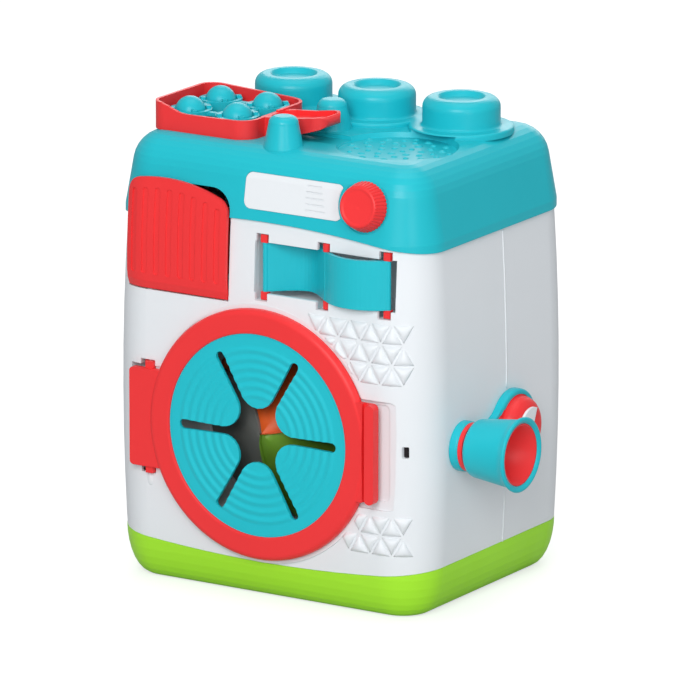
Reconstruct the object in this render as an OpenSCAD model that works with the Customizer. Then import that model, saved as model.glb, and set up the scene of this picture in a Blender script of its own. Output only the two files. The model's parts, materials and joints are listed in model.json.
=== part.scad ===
// Toy washing machine for small children: a rounded plastic cabinet that can be taken apart.
// Frame: X to the right seen from the front, the front looks to -Y, Z up, origin on the floor
// under the middle of the base. Everything is in millimetres.

/* [Body] */
// Width of the cabinet at its widest, half-way up
body_w = 243; // [238:1:256]
// Depth of the cabinet at its widest
body_d = 197; // [192:1:220]
// Radius of the vertical corners at the widest level
corner_r = 32.5; // [31:0.5:34]
// Height of the flat top around the studs
top_z = 298; // [296:0.5:301]
// Height over everything, at the top of the studs
total_h = 320; // [317:0.5:326]
// Thickness of the moulded walls
wall = 2.6; // [2.2:0.1:3]
// Radius of the slow vertical swell of the white walls
swell_r = 1806; // [1500:10:2600]
// Level at which the white walls swell most
swell_z = 125; // [115:1:135]
// Level of the joint between base and shells in the middle of the front
low_joint_z = 25.2; // [24:0.2:27]
// Rise of that joint from the middle of the front to the sides
low_joint_rise = 7.8; // [6:0.2:9]
// Level of the joint between shells and top cover in the middle of the front
high_joint_z = 253; // [252:0.5:255]
// Drop of that joint from the middle of the front to the sides
high_joint_drop = 10.2; // [9:0.2:11]
// Depth position of the seam between front and rear shell
seam_y = 8.5; // [6:0.5:14]

/* [Base] */
// How far the lip of the base stands in from the widest outline
base_lip_in = 2.1; // [2:0.1:2.4]
// How far the curved skirt of the base draws in towards the floor
base_draw = 16; // [13:0.5:19]

/* [Top cover] */
// How far the lip of the top cover stands in from the widest outline
cover_lip_in = 2.15; // [1.8:0.05:2.4]
// Lean of the walls of the top cover from upright, in degrees
lean = 9.9; // [8:0.1:11]
// Level at which the walls of the top cover start to lean
lean_z = 249; // [248:0.5:251]
// Radius of the shoulder between wall and top
shoulder_r = 22; // [20:0.5:23]
// Radius of a stacking stud
stud_r = 25.6; // [24:0.1:27]
// Distance between neighbouring studs
stud_pitch = 64.7; // [62:0.1:67]
// Sideways position of the middle stud
stud_x = 5.5; // [3:0.5:8]
// Depth position of the row of studs
stud_y = 34.8; // [33:0.2:40]
// Radius of the rounded upper edge of a stud
stud_round = 7; // [5:0.5:8]
// Radius of the dish in the top of a stud
dish_r = 16; // [13:0.5:17]
// Depth of that dish
dish_h = 3.4; // [2:0.2:5]
// Radius of the low plinth under a stud
plinth_r = 34.5; // [33:0.5:35]
// Height of the plinth
plinth_h = 3; // [2:0.2:4]
// Sideways position of the round scrubbing patch
patch_x = 61; // [58:0.5:63]
// Depth position of the scrubbing patch
patch_y = -29.5; // [-31:0.5:-26]
// Radius of the scrubbing patch
patch_r = 38.5; // [34:0.5:39]
// Depth of the scrubbing patch below the top
patch_h = 3.4; // [2:0.2:4]
// Number of bubbles moulded on the scrubbing patch
bubbles = 44; // [20:1:60]

/* [Control panel] */
// Sideways position of the knob
knob_x = 75.6; // [74:0.2:78]
// Level at which the axis of the knob leaves the panel
knob_z = 272; // [271:0.2:273]
// Radius of the knob over its ribs
knob_r = 16.5; // [15:0.1:18]
// Height of the knob above the panel
knob_h = 9.5; // [8.5:0.5:13]
// Number of grip ribs round the knob
knob_ribs = 40; // [24:1:44]
// Radius of the spindle of the knob
knob_shaft_r = 3; // [2.5:0.1:3.5]
// Left edge of the white panel inlay
panel_left = -15.4; // [-18:0.2:-12]
// Right edge of the white panel inlay
panel_right = 59; // [57:0.2:60]
// Bottom edge of the panel inlay
panel_low = 260.3; // [259:0.1:261]
// Top edge of the panel inlay
panel_high = 283.6; // [282:0.1:284]
// Thickness of the panel inlay
panel_t = 1.5; // [1.2:0.1:1.8]

/* [Detergent flap] */
// Left end of the flap, where it wraps round the corner
flap_left = -105; // [-107:0.5:-104]
// Right edge of the flap
flap_right = -26; // [-28:0.5:-25]
// Bottom edge of the flap
flap_low = 197.9; // [197:0.1:199]
// Level of the top of the arched upper edge
flap_high = 272.4; // [271:0.1:274]
// Radius of the arched upper edge
flap_arch_r = 118; // [100:1:140]
// Sideways position of the crown of the arch
flap_crown_x = -76; // [-80:0.5:-70]
// Thickness of the flap
flap_t = 2.6; // [2.2:0.1:3]
// Number of grip grooves down the flap
flap_grooves = 8; // [6:1:9]
// Angle to which the flap tilts out
flap_open = 38; // [25:1:38]

/* [Wave window] */
// Sideways position of the middle of the window
window_x = 47; // [46:0.2:48]
// Half the width of the window
window_half = 53.1; // [52.5:0.1:53.6]
// Bottom edge of the window
window_low = 205.8; // [205:0.1:207]
// Top edge of the window
window_high = 239.6; // [238:0.1:240]
// Distance of the upright axis of the wave behind the widest front
wave_axis_in = 5.9; // [5.7:0.1:6.1]
// Distance of the outer lugs from the axis
wave_arm = 46.6; // [45:0.1:47]
// How far the hollow half of the wave goes in
wave_in = 16; // [12:0.5:19]
// How far the bulging half of the wave comes out
wave_out = 10; // [6:0.5:12]
// Thickness of the wave
wave_t = 2.8; // [2.4:0.1:3.2]
// Height of a lug
lug_h = 4.4; // [4:0.1:4.6]
// Width of a lug
lug_w = 5; // [4:0.1:6]
// Radius of the upright pins of the wave
wave_pin_r = 1.1; // [0.9:0.1:1.2]

/* [Door] */
// Level of the middle of the door
door_z = 112; // [111:0.5:113]
// Outer radius of the door ring
ring_r = 83.7; // [82:0.1:84]
// Radius of the visible membrane
membrane_r = 68.1; // [66:0.1:69]
// Thickness of the door ring
ring_t = 6.4; // [5.5:0.1:7]
// Thickness of the soft membrane
membrane_t = 2.2; // [1.8:0.1:3]
// Number of slits in the membrane
slits = 6; // [4:1:8]
// Radius at which the slits end
slit_r = 60; // [54:0.5:61]
// Width of a slit at its rounded end
slit_end_w = 6.4; // [6:0.2:9]
// Width of a slit at its neck
slit_neck_w = 5.2; // [4:0.2:6]
// Radius at which the rounded tips of the petals end
petal_r = 18; // [15:0.5:20]
// Number of soft ridges round the membrane
ridges = 6; // [3:1:7]
// Sideways position of the upright hinge axis
hinge_x = -86; // [-87:0.2:-85.8]
// Distance of the hinge axis behind the widest front
hinge_in = 2.5; // [2:0.1:3]
// Radius of the hinge pin
hinge_pin_r = 1.6; // [1.3:0.1:2]
// Angle to which the door opens
door_open = 105; // [80:5:110]
// Half the height of hinge plate and handle
plate_half = 33; // [30:0.5:34]

/* [Drum] */
// Outer radius of the turning drum
drum_r = 69.6; // [66:0.1:70]
// Depth position of the back wall of the drum
drum_back_y = 42; // [30:1:60]
// Radius of the drum spindle
spindle_r = 4; // [3:0.1:5]
// Radius of the three-coloured spinner
spinner_r = 64; // [56:0.5:65]
// Depth of the spinner from its nose to its rim
spinner_depth = 38; // [25:1:45]
// Twist of the joints between the three vanes, in degrees
vane_twist = 34; // [0:1:50]

/* [Soap tray] */
// Left side of the tray
tray_left = -104.5; // [-105:0.5:-102]
// Right side of the tray
tray_right = -27; // [-29:0.5:-25]
// Front of the tray
tray_front = -70; // [-72:0.5:-69]
// Back of the tray
tray_back = 3; // [1:0.5:3.5]
// Height of the tray wall at its left end
tray_h_left = 18.5; // [15:0.5:21]
// Height of the tray wall along the rest
tray_h = 12.5; // [10:0.5:14]
// Thickness of the tray wall
tray_t = 2.2; // [1.8:0.1:2.6]
// Width of the lever that leaves the tray on the right
lever_w = 29; // [24:0.5:30]
// Right end of that lever
lever_tip = 17; // [12:0.5:18]
// Angle to which the tray tips
tray_tip_angle = 24; // [15:1:25]
// Sideways position of the pivot posts
post_x = -2.2; // [-4:0.2:-1]
// Depth position of the front post
post_front_y = -67; // [-69:0.5:-66.5]
// Depth position of the rear post
post_rear_y = -8; // [-8.5:0.5:-6]
// Radius of a post at its foot
post_r = 13; // [12:0.2:13.4]
// Radius of a post under its rounded top
post_top_r = 9.8; // [9:0.1:10.4]
// Height of a post
post_h = 19.5; // [19:0.5:22]
// Radius of the tray pivot pin
tray_pin_r = 1.5; // [1.3:0.1:1.8]
// Radius of a ball
ball_r = 10.2; // [9:0.1:10.6]
// Distance between neighbouring balls
ball_pitch = 36.4; // [34:0.2:37]

/* [Side funnel] */
// Depth position of the funnel axis
funnel_y = -47; // [-49:0.5:-45]
// Level of the funnel and of the dome
funnel_z = 110.5; // [108:0.5:114]
// Depth position of the middle of the dome
dome_y = 12.5; // [10:0.5:15]
// Radius of the front lobe of the base plate
lobe_front_r = 16.5; // [15:0.5:18]
// Radius of the rear lobe of the base plate
lobe_rear_r = 25; // [23:0.5:27]
// Thickness of the base plate
plate_t = 6; // [5:0.2:7]
// Radius of the narrow end of the funnel
funnel_r0 = 16.4; // [16:0.2:19]
// Radius of the rim of the funnel
funnel_r1 = 24.8; // [22:0.2:25]
// Distance of the funnel rim from the cabinet wall
funnel_reach = 45.5; // [40:0.5:50]
// Radius of the red dome
dome_r = 20.6; // [18:0.2:21]
// Height of the dome above the base plate
dome_h = 9.5; // [8:0.5:10]
// Angle the click lever swings each way
click_swing = 20; // [10:1:25]

/* [Fits] */
// Radial clearance of a turning fit
run_gap = 0.06; // [0.02:0.01:0.1]
// Clearance between a moving piece and its surroundings
move_gap = 0.6; // [0.4:0.1:0.8]
// Clearance between pieces that are fastened together
seat_gap = 0.2; // [0.1:0.05:0.3]

/* [Hidden] */

teal = [0.13, 0.72, 0.78];
red = [0.93, 0.25, 0.26];
white = [0.93, 0.94, 0.95];
green = [0.52, 0.77, 0.19];
orange = [0.88, 0.36, 0.14];
grey = [0.46, 0.46, 0.45];
pale = [0.8, 0.82, 0.83];
steel = [0.7, 0.71, 0.73];

half_x = body_w / 2 - corner_r;
half_y = body_d / 2 - corner_r;
far = body_w * 2;
low_arch_r = (pow(body_w / 2, 2) + pow(low_joint_rise, 2)) / (2 * low_joint_rise);
high_arch_r = (pow(body_w / 2, 2) + pow(high_joint_drop, 2)) / (2 * high_joint_drop);

// ---- profiles of the swept walls: points [distance out from the widest outline, height] ----

function arc(cx, cz, r, from, to, steps) =
    [for (i = [0:steps]) let (a = from + (to - from) * i / steps) [cx + r * cos(a), cz + r * sin(a)]];

function swell(z) = -pow(z - swell_z, 2) / (2 * swell_r);

function white_profile(inset, low, high, steps = 9) =
    [for (i = [0:steps]) let (z = low + (high - low) * i / steps) [swell(z) - inset, z]];

function cover_in(z) = -cover_lip_in - max(0, z - lean_z) * tan(lean);

cover_arc_z = top_z - shoulder_r;
cover_tan_z = cover_arc_z + shoulder_r * sin(lean);
cover_arc_x = cover_in(cover_tan_z) - shoulder_r * cos(lean);

// inset is measured square to the wall, so the shoulder keeps one centre for every inset
function cover_profile(inset, low, steps = 7) = concat(
    [[-cover_lip_in - inset, low], [-cover_lip_in - inset, lean_z]],
    arc(cover_arc_x, cover_arc_z, shoulder_r - inset, lean, 90, steps));

base_lip_z = low_joint_z + low_joint_rise + 1;

// the skirt is a quarter of an ellipse that ends level with the floor
function base_profile(inset, steps = 8) = concat(
    [for (i = [0:steps]) let (a = 90 * i / steps)
        [-base_lip_in - base_draw * (1 - sin(a)) - inset * sin(a) , base_lip_z * (1 - cos(a)) + inset * cos(a)]],
    [[-base_lip_in - inset, base_lip_z + 8]]);

// a solid whose side follows a profile all round the cabinet
module swept(profile) {
    low = profile[0][1];
    high = profile[len(profile) - 1][1];
    last = len(profile) - 1;
    for (i = [0:3])
        translate([(i == 0 || i == 3) ? half_x : -half_x, i < 2 ? half_y : -half_y, 0])
            rotate(90 * i)
                rotate_extrude(angle = 90, $fn = 96)
                    polygon(concat([[0, low]], [for (p = profile) [corner_r + p[0], p[1]]], [[0, high]]));
    rotate([90, 0, 90])
        linear_extrude(height = 2 * half_x, center = true)
            polygon(concat([for (p = profile) [half_y + corner_r + p[0], p[1]]],
                [for (i = [last:-1:0]) [-half_y - corner_r - profile[i][0], profile[i][1]]]));
    rotate([90, 0, 0])
        linear_extrude(height = 2 * half_y, center = true)
            polygon(concat([for (p = profile) [half_x + corner_r + p[0], p[1]]],
                [for (i = [last:-1:0]) [-half_x - corner_r - profile[i][0], profile[i][1]]]));
}

// ---- shared helpers ----

function white_y(z) = -(body_d / 2 + swell(z));
function cover_y(z) = -(body_d / 2 + cover_in(z));

module along_y(r, z) {
    translate([0, 0, z])
        rotate([90, 0, 0])
            cylinder(r = r, h = body_d + 40, center = true, $fn = 360);
}

// everything between the two arched joints, drawn in by g
module between_joints(g) {
    intersection() {
        along_y(high_arch_r - g, high_joint_z - high_arch_r);
        along_y(low_arch_r - g, low_joint_z + low_arch_r);
    }
}

// z of the children points out of the front
module out_front(x, y, z) {
    translate([x, y, z])
        rotate([90, 0, 0])
            children();
}

// z of the children points to the back
module out_back(x, y, z) {
    translate([x, y, z])
        rotate([-90, 0, 0])
            children();
}

// z of the children points out of the right side, their x to the back and their y up
module out_right(y) {
    translate([body_w / 2 + seat_gap, y, funnel_z])
        rotate([90, 0, 90])
            children();
}

// z of the children stands square on the leaning front of the top cover, at the knob
module on_panel() {
    translate([knob_x, cover_y(knob_z), knob_z])
        rotate([90 - lean, 0, 0])
            children();
}

module pill(x0, y0, x1, y1, r) {
    translate([x0 + r, y0])
        square([x1 - x0 - 2 * r, y1 - y0]);
    translate([x0, y0 + r])
        square([x1 - x0, y1 - y0 - 2 * r]);
    for (x = [x0 + r, x1 - r], y = [y0 + r, y1 - r])
        translate([x, y])
            circle(r = r, $fn = 48);
}

module box(low, high) {
    translate(low)
        cube(high - low);
}

module tube(r_out, r_in, h) {
    difference() {
        cylinder(r = r_out, h = h, $fn = 120);
        translate([0, 0, -1])
            cylinder(r = r_in, h = h + 2, $fn = 120);
    }
}

// a screw with its tip at the bottom and a crossed head on top
module screw(length) {
    cylinder(r = screw_r, h = length, $fn = 32);
    translate([0, 0, length])
        difference() {
            cylinder(r = head_r, h = head_h, $fn = 40);
            for (a = [0, 90])
                rotate(a)
                    translate([-head_r * 0.6, -0.5, head_h - 0.9])
                        cube([head_r * 1.2, 1, 1]);
        }
}

// ---- places shared by several pieces ----

screw_r = 1.45;
screw_free_r = 1.9;
pilot_r = 1.5;
head_r = 3.2;
head_h = 2.2;
boss_r = 5;
tongue_t = 1.7;
tongue_h = 5;

seat_y = white_y(door_z) + 1.1;
disc_t = 4.4;
disc_back_y = seat_y + disc_t;
door_hole_r = membrane_r + 4.5;
latch_left = 77.5;
latch_right = 104;
latch_low = door_z - 38;
latch_high = door_z + 34.5;
latch_r = 8;
latch_back_y = seat_y + 1.6;
pocket_r = 15.4;
pocket_right = hinge_x + 4.4;
knuckle_r = 4;
knuckle_half = plate_half + 4.6;
hinge_y = hinge_in - body_d / 2;
wave_y = wave_axis_in - body_d / 2;

rear_boss_x = body_w / 2 - 15.5;
rear_boss_z = [58, 187];
rear_head_y = 40;
base_boss_x = body_w / 2 - 24.5;
base_boss_y = body_d / 2 - 53.5;
base_boss_low = 7;
base_boss_h = 43;
tower_r = 5.5;
cover_boss_x = body_w / 2 - 13.9;
cover_boss_y = [-24, 46];
cover_tab_z = high_joint_z - 18;
cover_boss_low = cover_tab_z + wall + seat_gap;

flap_axis_y = -body_d / 2 + 3.6;
flap_axis_z = flap_low + 2.1;
flap_pin_r = 1.2;
flap_ear_r = flap_pin_r + 0.9;
flap_ear_w = 3;
flap_ears = [-89, -30];
flap_hole_low = flap_axis_z - 3.1;
flap_corner_r = 11;
bin_left = -100;
bin_right = -34;
bin_r = 58;
bin_angle = 42;
bin_t = 2;

tray_floor_z = top_z - 0.9;
tray_bed_z = tray_floor_z - 0.3;
tray_pin_z = tray_floor_z + 9.4;
tray_floor_t = 1.8;
tray_corner_r = 12;
lever_mid_y = (post_front_y + post_rear_y) / 2 + 1;
ball_z = tray_floor_z + ball_r + 0.2;
tray_mid_x = (tray_left + tray_right) / 2;
tray_mid_y = (tray_front + tray_back) / 2;

housing_r = window_half + 0.3;
housing_t = 2;
housing_low = window_low - lug_h - 0.8;
housing_high = window_high + lug_h + 0.8;
bearing_h = 4.6;
notch_left = 3.2;
notch_right = 1.2;

tub_r = drum_r + 1.5;
tub_t = 2.4;
tub_back_y = drum_back_y + 8;
tub_front_y = disc_back_y + 0.05;
tub_flange_t = 2.5;
tub_screw_r = tub_r + tub_t + head_r + 0.6;
drum_front_y = tub_front_y + 2.4;
drum_wall = 2;
hub_r = 8;
nose_y = drum_front_y - 6.5;

axle_r = 4;
stem_r = 3;
plate_edge = 2;
neck_r = 24;

// ---- white shells ----

// a short ring that runs upright along the lip of the top cover and then leans with its walls
function lip_profile(inset, low, high) =
    [[-cover_lip_in - inset, low], [-cover_lip_in - inset, lean_z], [cover_in(high) - inset, high]];

module white_wall() {
    intersection() {
        difference() {
            swept(white_profile(0, 12, 266));
            swept(white_profile(wall, 11, 267));
        }
        between_joints(0.1);
    }
}

// spigot that reaches up behind the lip of the top cover, left out above the wave housing
module upper_tongue() {
    difference() {
        intersection() {
            swept(lip_profile(wall + seat_gap, 236, 262));
            along_y(high_arch_r + tongue_h, high_joint_z - high_arch_r);
        }
        swept(lip_profile(wall + seat_gap + tongue_t, 235, 263));
        box([window_x - housing_r - 3, -far, 230], [window_x + housing_r + 3, -80, housing_high + housing_t + 0.5]);
    }
}

// spigot that reaches down behind the lip of the base
module lower_tongue() {
    difference() {
        intersection() {
            union() {
                swept(base_profile(wall + seat_gap));
                intersection() {
                    swept(white_profile(wall / 2, 20, base_lip_z + 8));
                    along_y(low_arch_r - 0.1, low_joint_z + low_arch_r);
                }
            }
            along_y(low_arch_r + tongue_h, low_joint_z + low_arch_r);
            box([-far, -far, 0], [far, far, base_lip_z + 4.2]);
        }
        swept(base_profile(wall + seat_gap + tongue_t));
    }
}

module rear_boss_places() {
    for (x = [-rear_boss_x, rear_boss_x], z = rear_boss_z)
        translate([x, 0, z])
            children();
}

module corner_places(x, ys) {
    for (i = [-1, 1], y = ys)
        translate([i * x, y, 0])
            children();
}

// posts that stand on the base, each tied to the side wall by a rib
module base_bosses(y) {
    corner_places(base_boss_x, [y])
        translate([0, 0, base_boss_low])
            cylinder(r = boss_r, h = base_boss_h, $fn = 48);
    for (x = [[-body_w / 2 + 4, -base_boss_x], [base_boss_x, body_w / 2 - 4]])
        box([x[0], y - 1.25, base_lip_z + 4], [x[1], y + 1.25, base_boss_low + base_boss_h]);
}

module base_boss_bores(y) {
    corner_places(base_boss_x, [y])
        translate([0, 0, base_boss_low - 1])
            cylinder(r = pilot_r, h = 25, $fn = 32);
}

module cover_tabs(y) {
    for (x = [[-body_w / 2 + 5, -cover_boss_x + 6], [cover_boss_x - 6, body_w / 2 - 5]])
        box([x[0], y - 7, cover_tab_z], [x[1], y + 7, cover_tab_z + wall]);
}

module cover_tab_bores(y) {
    corner_places(cover_boss_x, [y])
        translate([0, 0, cover_tab_z - 1])
            cylinder(r = screw_free_r, h = wall + 2, $fn = 32);
}

// window with the small notches that let the lugs through
module window_outline() {
    translate([window_x - window_half, window_low])
        square([2 * window_half, window_high - window_low]);
    for (i = [-1:1])
        translate([window_x + i * wave_arm - lug_w / 2 - notch_left, housing_low])
            square([lug_w + notch_left + notch_right, housing_high - housing_low]);
}

module wave_bearings() {
    box([window_x - 5, white_y(housing_low) + 1.2, housing_low - bearing_h],
        [window_x + 5, wave_y + 4, housing_low - 0.2]);
    box([window_x - 5, white_y(housing_high + bearing_h) + 1.2, housing_high + 0.2],
        [window_x + 5, wave_y + 4, housing_high + bearing_h]);
}

module flap_hole() {
    left = flap_left - move_gap;
    right = flap_right + move_gap;
    out_front(0, -84, 0)
        linear_extrude(height = 30) {
            translate([left, flap_hole_low])
                square([right - left, 40]);
            pill(left, flap_hole_low, right, flap_high - 2, 15);
        }
}

module flap_axis(x0, x1, r) {
    translate([x0, flap_axis_y, flap_axis_z])
        rotate([0, 90, 0])
            cylinder(r = r, h = x1 - x0, $fn = 48);
}

module flap_ear_blocks() {
    for (x = flap_ears) {
        flap_axis(x, x + flap_ear_w, flap_ear_r);
        box([x, flap_axis_y + 0.4, flap_hole_low - 5], [x + flap_ear_w, flap_axis_y + 6, flap_axis_z + flap_ear_r]);
        box([x, flap_axis_y - 0.7, flap_hole_low - 5], [x + flap_ear_w, flap_axis_y + 6, flap_hole_low - 0.4]);
    }
}

// round pocket, limited to one side of the door ring
module hinge_round(r, right, half) {
    intersection() {
        translate([hinge_x, hinge_y, door_z - half])
            cylinder(r = r, h = 2 * half, $fn = 96);
        box([hinge_x - 30, -130, 0], [right, 0, 250]);
    }
}

module front_shell() {
    color(white) {
        difference() {
            union() {
                intersection() {
                    union() {
                        white_wall();
                        upper_tongue();
                        lower_tongue();
                    }
                    box([-far, -far, -40], [far, seam_y, 300]);
                }
                // land behind the door ring
                intersection() {
                    out_front(0, disc_back_y, door_z)
                        cylinder(r = ring_r + 2.6, h = disc_t, $fn = 180);
                    between_joints(0.1);
                }
                // back of the latch recess and walls of the hinge pocket
                intersection() {
                    union() {
                        box([latch_left - 4, latch_back_y - 3, latch_low - wall],
                            [latch_right + wall, latch_back_y + wall, latch_high + wall]);
                        hinge_round(pocket_r + 2.2, pocket_right + 2.2, plate_half + 3.7);
                    }
                    swept(white_profile(wall / 2, 12, 266));
                }
                // blocks that hold the ends of the hinge pin
                for (side = [-1, 1])
                    box([hinge_x - 5, hinge_y - 1, door_z + side * (knuckle_half + 5) - 4.4],
                        [hinge_x + 5, hinge_y + 6, door_z + side * (knuckle_half + 5) + 4.4]);
                wave_bearings();
                rear_boss_places()
                    out_front(0, seam_y, 0)
                        cylinder(r = boss_r, h = 94, $fn = 48);
                base_bosses(-base_boss_y);
                cover_tabs(cover_boss_y[0]);
            }
            // door opening and the land for its ring
            out_front(0, disc_back_y + 10, door_z)
                cylinder(r = door_hole_r, h = 60, $fn = 180);
            out_front(0, seat_y, door_z)
                cylinder(r = ring_r + 0.7, h = 30, $fn = 180);
            // window of the wave and detergent opening
            out_front(0, wave_y + 3.9, 0)
                linear_extrude(height = 40)
                    window_outline();
            flap_hole();
            // latch recess and the finger recess in it
            out_front(0, latch_back_y, 0)
                linear_extrude(height = 30)
                    pill(latch_left - 20, latch_low, latch_right, latch_high, latch_r);
            out_front(0, latch_back_y + 1.2, door_z)
                linear_extrude(height = 30)
                    pill(85.6, -plate_half + 1, 97, plate_half - 1, 4);
            // small slot beside the latch
            out_front(body_w / 2 - 14.5, -60, door_z + 1.7)
                linear_extrude(height = 60)
                    pill(-2, -3.8, 2, 3.8, 1);
            // inside of the hinge pocket, with notches for the knuckles
            hinge_round(pocket_r, pocket_right, plate_half + 1.5);
            box([hinge_x - 13.7, -130, door_z - plate_half - 1.5],
                [hinge_x + 30, seat_y, door_z + plate_half + 1.5]);
            box([hinge_x - 6.8, -130, door_z - knuckle_half - 0.6],
                [pocket_right, hinge_y + 4.6, door_z + knuckle_half + 0.6]);
            translate([hinge_x, hinge_y, door_z - knuckle_half - 8])
                cylinder(r = hinge_pin_r, h = 2 * knuckle_half + 16, $fn = 40);
            // bearings of the wave
            translate([window_x, wave_y, housing_low - 3.6])
                cylinder(r = wave_pin_r + run_gap, h = housing_high - housing_low + 7.2, $fn = 40);
            rear_boss_places()
                out_front(0, seam_y + 1, 0)
                    cylinder(r = pilot_r, h = 22, $fn = 32);
            base_boss_bores(-base_boss_y);
            cover_tab_bores(cover_boss_y[0]);
            tub_screw_places()
                out_front(0, disc_back_y + 1, 0)
                    cylinder(r = pilot_r, h = 3.6, $fn = 32);
            out_right(funnel_y)
                translate([0, 0, -8])
                    cylinder(r = stem_r + seat_gap / 2, h = 20, $fn = 48);
        }
        difference() {
            flap_ear_blocks();
            flap_axis(flap_ears[0] - 1, flap_ears[1] + flap_ear_w + 1, flap_pin_r);
        }
    }
}

module rear_shell() {
    color(white) difference() {
        union() {
            intersection() {
                union() {
                    white_wall();
                    upper_tongue();
                    lower_tongue();
                }
                box([-far, seam_y, -40], [far, far, 300]);
            }
            intersection() {
                rear_boss_places()
                    out_back(0, seam_y, 0)
                        cylinder(r = boss_r, h = 92, $fn = 48);
                swept(white_profile(wall / 2, 12, 266));
            }
            base_bosses(base_boss_y);
            cover_tabs(cover_boss_y[1]);
        }
        rear_boss_places()
            out_back(0, seam_y - 1, 0)
                cylinder(r = screw_free_r, h = 60, $fn = 32);
        rear_boss_places()
            out_back(0, rear_head_y, 0)
                cylinder(r = head_r + 0.5, h = 90, $fn = 40);
        base_boss_bores(base_boss_y);
        cover_tab_bores(cover_boss_y[1]);
        out_right(dome_y)
            translate([0, 0, -8])
                cylinder(r = stem_r + seat_gap / 2, h = 20, $fn = 48);
    }
}

// ---- base ----

module base_tray() {
    color(green) difference() {
        union() {
            difference() {
                swept(base_profile(0));
                swept(base_profile(wall));
                along_y(low_arch_r, low_joint_z + low_arch_r);
            }
            corner_places(base_boss_x, [-base_boss_y, base_boss_y])
                translate([0, 0, wall / 2])
                    cylinder(r = tower_r, h = base_boss_low - 0.1 - wall / 2, $fn = 48);
            for (y = [-60:30:60])
                box([-88, y - 0.9, wall / 2], [88, y + 0.9, 9]);
            for (x = [-58:58:58])
                box([x - 0.9, -72, wall / 2], [x + 0.9, 72, 9]);
        }
        corner_places(base_boss_x, [-base_boss_y, base_boss_y]) {
            translate([0, 0, -1])
                cylinder(r = screw_free_r, h = 12, $fn = 32);
            translate([0, 0, -1])
                cylinder(r = head_r + 0.5, h = base_head_z + 1, $fn = 40);
        }
    }
}

base_head_z = 3.6;

module base_screws() {
    color(steel)
        corner_places(base_boss_x, [-base_boss_y, base_boss_y])
            translate([0, 0, base_head_z + 18])
                rotate([180, 0, 0])
                    screw(18);
}

module rear_screws() {
    color(steel)
        rear_boss_places()
            out_back(0, rear_head_y - 48, 0)
                screw(48);
}

module cover_screws() {
    color(steel)
        corner_places(cover_boss_x, cover_boss_y)
            translate([0, 0, cover_tab_z + 15])
                rotate([180, 0, 0])
                    screw(15);
}

// ---- top cover ----

function stud_profile(inset) = concat(
    [[0, top_z - wall - 1]],
    [[stud_r - inset, top_z - wall - 1]],
    arc(stud_r - stud_round, total_h - stud_round, stud_round - inset, 0, 90, 7),
    [for (i = [0:6]) let (a = 30 * i)
        [dish_r - i * 0.6 + (inset > 0 ? 1 : 0), total_h - inset - dish_h * (1 - cos(a)) / 2]],
    [[0, total_h - inset - dish_h]]);

module stud_places() {
    for (i = [-1:1])
        translate([stud_x + i * stud_pitch, stud_y, 0])
            children();
}

module stud_foot() {
    rotate_extrude($fn = 120)
        polygon(concat([[0, top_z - wall / 2], [plinth_r, top_z - wall / 2]],
            arc(plinth_r - 1.5, top_z + plinth_h - 1.5, 1.5, 0, 90, 4),
            [for (i = [0:4]) let (a = 90 * i / 4)
                [stud_r + 2 - 2 * sin(a), top_z + plinth_h + 2 - 2 * cos(a)]],
            [[0, top_z + plinth_h + 2]]));
}

module post_places() {
    for (y = [post_front_y, post_rear_y])
        translate([post_x, y, 0])
            children();
}

module post() {
    rotate_extrude($fn = 96)
        polygon(concat([[0, top_z - 4], [post_r, top_z - 4], [post_r, top_z - 1]],
            arc(post_top_r - 5, top_z + post_h - 5, 5, 0, 90, 7),
            [[0, top_z + post_h]]));
}

module panel_outline(g) {
    difference() {
        pill(panel_left - g, panel_low - g, panel_right + g, panel_high + g, 5);
        translate([knob_x, knob_z])
            circle(r = knob_r + 3.5 - g, $fn = 120);
    }
}

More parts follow.
